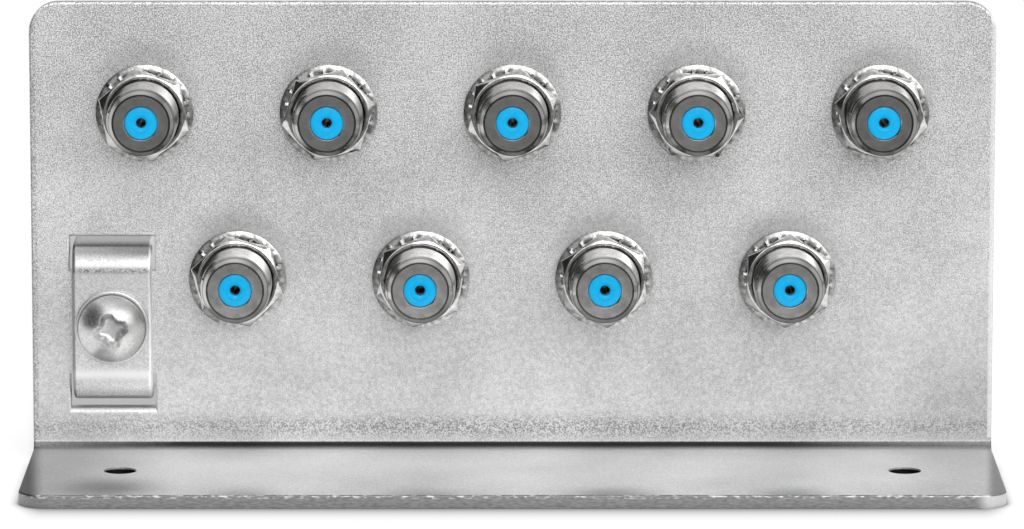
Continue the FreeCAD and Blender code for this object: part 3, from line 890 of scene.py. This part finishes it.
def crossRecess(shape):
    # a bar of twelve sides; every third corner is drawn in, which leaves four wings, tapered and rounded
    top, bottom = screwCrown - shape["recessAbove"], screwCrown + shape["depth"]
    tool = barAlongY("recess", shape["recess"] / 2, top, bottom, sides=12)
    # its first corner goes to 15 degrees, so that one in three lies between the wings, at 45 and on
    first = tool.data.vertices[0].co
    turn = math.degrees(math.atan2(first.z, first.x)) - 15
    tool.data.transform(Matrix.Rotation(math.radians(turn), 4, "Y"))
    pickVertices(tool, lambda co: abs(math.degrees(math.atan2(co.z, co.x)) % 90 - 45) < 5)
    narrowPicked(shape["core"] / shape["recess"])
    pickVertices(tool, lambda co: co.y > (top + bottom) / 2)
    narrowPicked(shape["taper"])
    bevelEdges(tool, shape["recessRound"], segments=4, angle=25)
    return tool


def makeScrew(shape):
    radius, roll = shape["head"] / 2, shape["round"]
    shoulder = washerSeat - shape["rim"]
    rise = shoulder - screwCrown
    dome = (radius ** 2 + rise ** 2) / (2 * rise)
    profile = [(washerSeat, 0), (washerSeat, radius - roll), (washerSeat - roll, radius), (shoulder, radius)]
    lean = math.asin(radius / dome)
    for count in range(1, shape["domeSteps"] + 1):
        angle = lean * (1 - count / shape["domeSteps"])
        profile.append((screwCrown + dome * (1 - math.cos(angle)), dome * math.sin(angle)))
    profile.append((washerSeat, 0))
    head = turnShape("screwModel", profile, shape["steps"])
    carve(head, crossRecess(shape), "DIFFERENCE")
    bevelEdges(head, shape["recessEdge"], angle=35)
    shank = helixThread("shank", shape, washerSeat - shape["runIn"], screwTip)
    crest, start = shape["thread"] / 2, washerSeat - shape["runIn"] / 2
    blank = [(start, 0), (start, crest + slack), (screwTip - shape["tip"], crest + slack),
             (screwTip, crest - shape["tip"]), (screwTip, 0)]
    carve(shank, turnShape("blank", blank), "INTERSECT")
    makeActive(head)
    shank.select_set(True)
    bpy.ops.object.join()
    smoothEdges(head, angle=30)
    return head


screwModel = makeScrew(screwShape)
screwPiece = setDown(screwModel, "pan_head_screw", screwPlace.x, screwPlace.z, screwShape["turn"],
                     screwMaterial)
finishPiece(screwPiece, "screw", "clamp_screw")
bpy.data.objects.remove(screwModel)

washerShape = dict(outside=10.1 * mm, bore=5.3 * mm, edge=0.20 * mm, steps=96)


def makeWasher(shape):
    outside, bore = shape["outside"] / 2, shape["bore"] / 2
    washer = turnShape("washerModel", [(washerSeat, bore), (washerSeat, outside), (strapFront, outside),
                                       (strapFront, bore), (washerSeat, bore)], shape["steps"])
    bevelEdges(washer, shape["edge"], segments=3)
    smoothEdges(washer)
    return washer


washerModel = makeWasher(washerShape)
washerPiece = setDown(washerModel, "flat_washer", screwPlace.x, screwPlace.z, 0.0, screwMaterial)
finishPiece(washerPiece, "clamp", "clamp_washer")
bpy.data.objects.remove(washerModel)
print("clamp screw made")


# Finishes of the pieces that stay as the frame has them

def dressNode(node, material):
    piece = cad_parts[node]
    piece.data.materials.clear()
    piece.data.materials.append(material)


dressNode("mounting_bracket", sheetMaterial)
dressNode("clamp_strap", strapMaterial)
for number in range(1, couplerCount + 1):
    dressNode(f"inner_contact_{number}", contactMaterial)
print("finishes set")


# Floor, cards, lamps and camera

cameraSetup = dict(elevation=9.75, distance=891.4 * mm, lens=231.9, sensor=36.0,
                   aimSide=-0.07 * mm, aimHeight=26.99 * mm)

floorLook = dict(
    # glow: how much of the white comes from itself
    size=12.0, colour="#f2f2f2", roughness=0.9, glow=0.6,
    # how much darker the floor is beside the block, how fast that fades ahead of it and how many times
    # faster at its sides, for a footprint with these corners and without the fold
    contact=0.73, reach=3.6 * mm, narrow=7.0, corner=3.8 * mm, fold=2.9 * mm,
    # share of that shade behind the block
    backShare=0.25, backFade=4.0 * mm,
    # light left in the shelter of the plate, which fades far behind and falls away from the key lamp
    behind=0.48, far=(0.19, 0.27), span=0.3, slant=0.42, leftSoft=4.0 * mm, rightSoft=45.0 * mm,
    # light left right under the block, and how near that is
    under=0.05, touch=0.05 * mm)


def seenDirectly(tree):
    # 1 where the camera looks, also by reflection or through something, and 0 for all light on the block
    rays = addNode(tree, "ShaderNodeLightPath").outputs
    return largest(rays["Is Camera Ray"], rays["Is Glossy Ray"], rays["Is Transmission Ray"])


def floorLight(tree, look):
    # how much light is left on the floor: less beside the block and in the shelter of its plate
    across, depth = addNode(tree, "ShaderNodeSeparateXYZ", in0=objectPlace(tree)).outputs[:2]
    # the foot rests on the floor up to where the fold begins
    apart = []
    for value, first, last in ((across, -plateEnd, plateEnd), (depth, footFront, plateBack - look["fold"])):
        away = minus(awayFrom(value, (first + last) / 2), (last - first) / 2 - look["corner"])
        apart.append(blend("MAXIMUM", away, 0.0))
    away = lengthOf(*apart)
    sideways = blend("DIVIDE", apart[0], blend("ADD", away, 1e-6))
    away = product(blend("MAXIMUM", minus(away, look["corner"]), 0.0),
                   ramp(product(sideways, sideways), 1.0, look["narrow"]))
    shade = blend("EXPONENT", product(away, -1 / look["reach"]), 0.0)
    shade = product(shade, ramp(depth, 1.0, look["backShare"], plateFront, plateBack + look["backFade"]))
    # the shelter widens away from the camera, so the front shows it only through the slots
    span = look["span"]
    side = blend("DIVIDE", across, ramp(depth, 1.0, 1.0 + span / cameraSetup["distance"], 0.0, span))
    slanted = blend("ADD", side, product(depth, look["slant"]))
    shelter = product(rise(side, -plateEnd, look["leftSoft"] - plateEnd, True),
                      fall(slanted, plateEnd - look["rightSoft"], plateEnd, True),
                      rise(depth, plateFront, plateBack), fall(depth, *look["far"], True))
    return product(ramp(shade, 1.0, 1.0 - look["contact"]), ramp(shelter, 1.0, look["behind"]),
                   ramp(below(away, look["touch"]), 1.0, look["under"]))


def makeFloor(look):
    deselectAll()
    bpy.ops.mesh.primitive_plane_add(size=look["size"], location=(0, 0, 0))
    floor = bpy.context.object
    floor.name = "floor"
    material, tree, shader = newMaterial("white paper floor", Roughness=look["roughness"])
    level = floorLight(tree, look)
    paper = addNode(tree, "ShaderNodeRGB").outputs[0]
    paper.default_value = hexColour(look["colour"])
    tree.links.new(darken(paper, level), shader.inputs["Base Color"])
    glow = addNode(tree, "ShaderNodeEmission", {"Color": white}, Strength=level)
    part = product(seenDirectly(tree), look["glow"])
    mix = addNode(tree, "ShaderNodeMixShader", in0=part, in1=shader.outputs[0], in2=glow.outputs[0])
    tree.links.new(mix.outputs[0], tree.nodes["Material Output"].inputs["Surface"])
    floor.data.materials.append(material)


def makeWorld(level):
    world = bpy.data.worlds.new("studio")
    bpy.context.scene.world = world
    world.use_nodes = True
    tree = world.node_tree
    tree.nodes.clear()
    light = addNode(tree, "ShaderNodeBackground", {"Color": white, "Strength": level})
    plain = addNode(tree, "ShaderNodeBackground", {"Color": white, "Strength": 1.0})
    mix = addNode(tree, "ShaderNodeMixShader", in0=seenDirectly(tree), in1=light.outputs[0],
                  in2=plain.outputs[0])
    output = addNode(tree, "ShaderNodeOutputWorld")
    tree.links.new(mix.outputs[0], output.inputs["Surface"])


def lookAt(item, target):
    item.rotation_euler = (Vector(target) - item.location).to_track_quat("-Z", "Y").to_euler()


def makeCard(name, place, width, height, colour, target):
    # a grey card that only the bright metal shows, as a dark or dull part of the room would
    deselectAll()
    bpy.ops.mesh.primitive_plane_add(size=1, location=place)
    card = bpy.context.object
    card.name = name
    card.scale = (width, height, 1)
    lookAt(card, target)
    card.visible_camera = card.visible_diffuse = card.visible_shadow = False
    material, tree = newMaterial(name + " paper")[:2]
    glow = addNode(tree, "ShaderNodeEmission", {"Strength": 1.0, "Color": hexColour(colour)})
    tree.links.new(glow.outputs[0], tree.nodes["Material Output"].inputs["Surface"])
    card.data.materials.append(material)


def makeLamp(name, place, width, height, power):
    data = bpy.data.lights.new(name, "AREA")
    data.shape = "RECTANGLE"
    data.size, data.size_y = width, height
    data.energy = power
    lamp = bpy.data.objects.new(name, data)
    bpy.context.scene.collection.objects.link(lamp)
    lamp.location = place
    lookAt(lamp, lampTarget)
    lamp.visible_camera = False


def makeCamera(setup):
    data = bpy.data.cameras.new("camera")
    data.lens = setup["lens"]
    data.sensor_width = setup["sensor"]
    camera = bpy.data.objects.new("camera", data)
    bpy.context.scene.collection.objects.link(camera)
    rise = math.radians(setup["elevation"])
    target = Vector((setup["aimSide"], plateFront, setup["aimHeight"]))
    camera.location = target + setup["distance"] * Vector((0, -math.cos(rise), math.sin(rise)))
    lookAt(camera, target)
    bpy.context.scene.camera = camera


# name, place, width, height, then a card's colour and aim or a lamp's power
cards = (("table card", (0.0, -0.734, 0.001), 2.4, 1.3, "#7c7c7c", (0.0, -0.734, 1.0)),
         ("far card", (0.0, -1.45, 0.08), 2.4, 0.2, "#7c7c7c", (0.0, 0.0, 0.08)),
         ("ceiling card", (0.0, -0.1, 0.9), 2.2, 1.3, "#cccccc", (0.0, -0.1, 0.0)),
         ("left card", (-0.9, -0.5, 0.4), 1.0, 0.9, "#303030", (0.0, 0.0, 0.03)))
lamps = (("key lamp", (0.45, -1.0, 0.75), 1.5, 1.0, 10.8), ("top lamp", (-0.1, -0.2, 1.3), 0.9, 0.5, 9.0))
lampTarget = (0, plateFront, 30 * mm)
worldLevel = 0.7

makeFloor(floorLook)
makeWorld(worldLevel)
for card in cards:
    makeCard(*card)
for lamp in lamps:
    makeLamp(*lamp)
makeCamera(cameraSetup)
bpy.context.scene.view_settings.view_transform = "Standard"
print("stage and camera set")
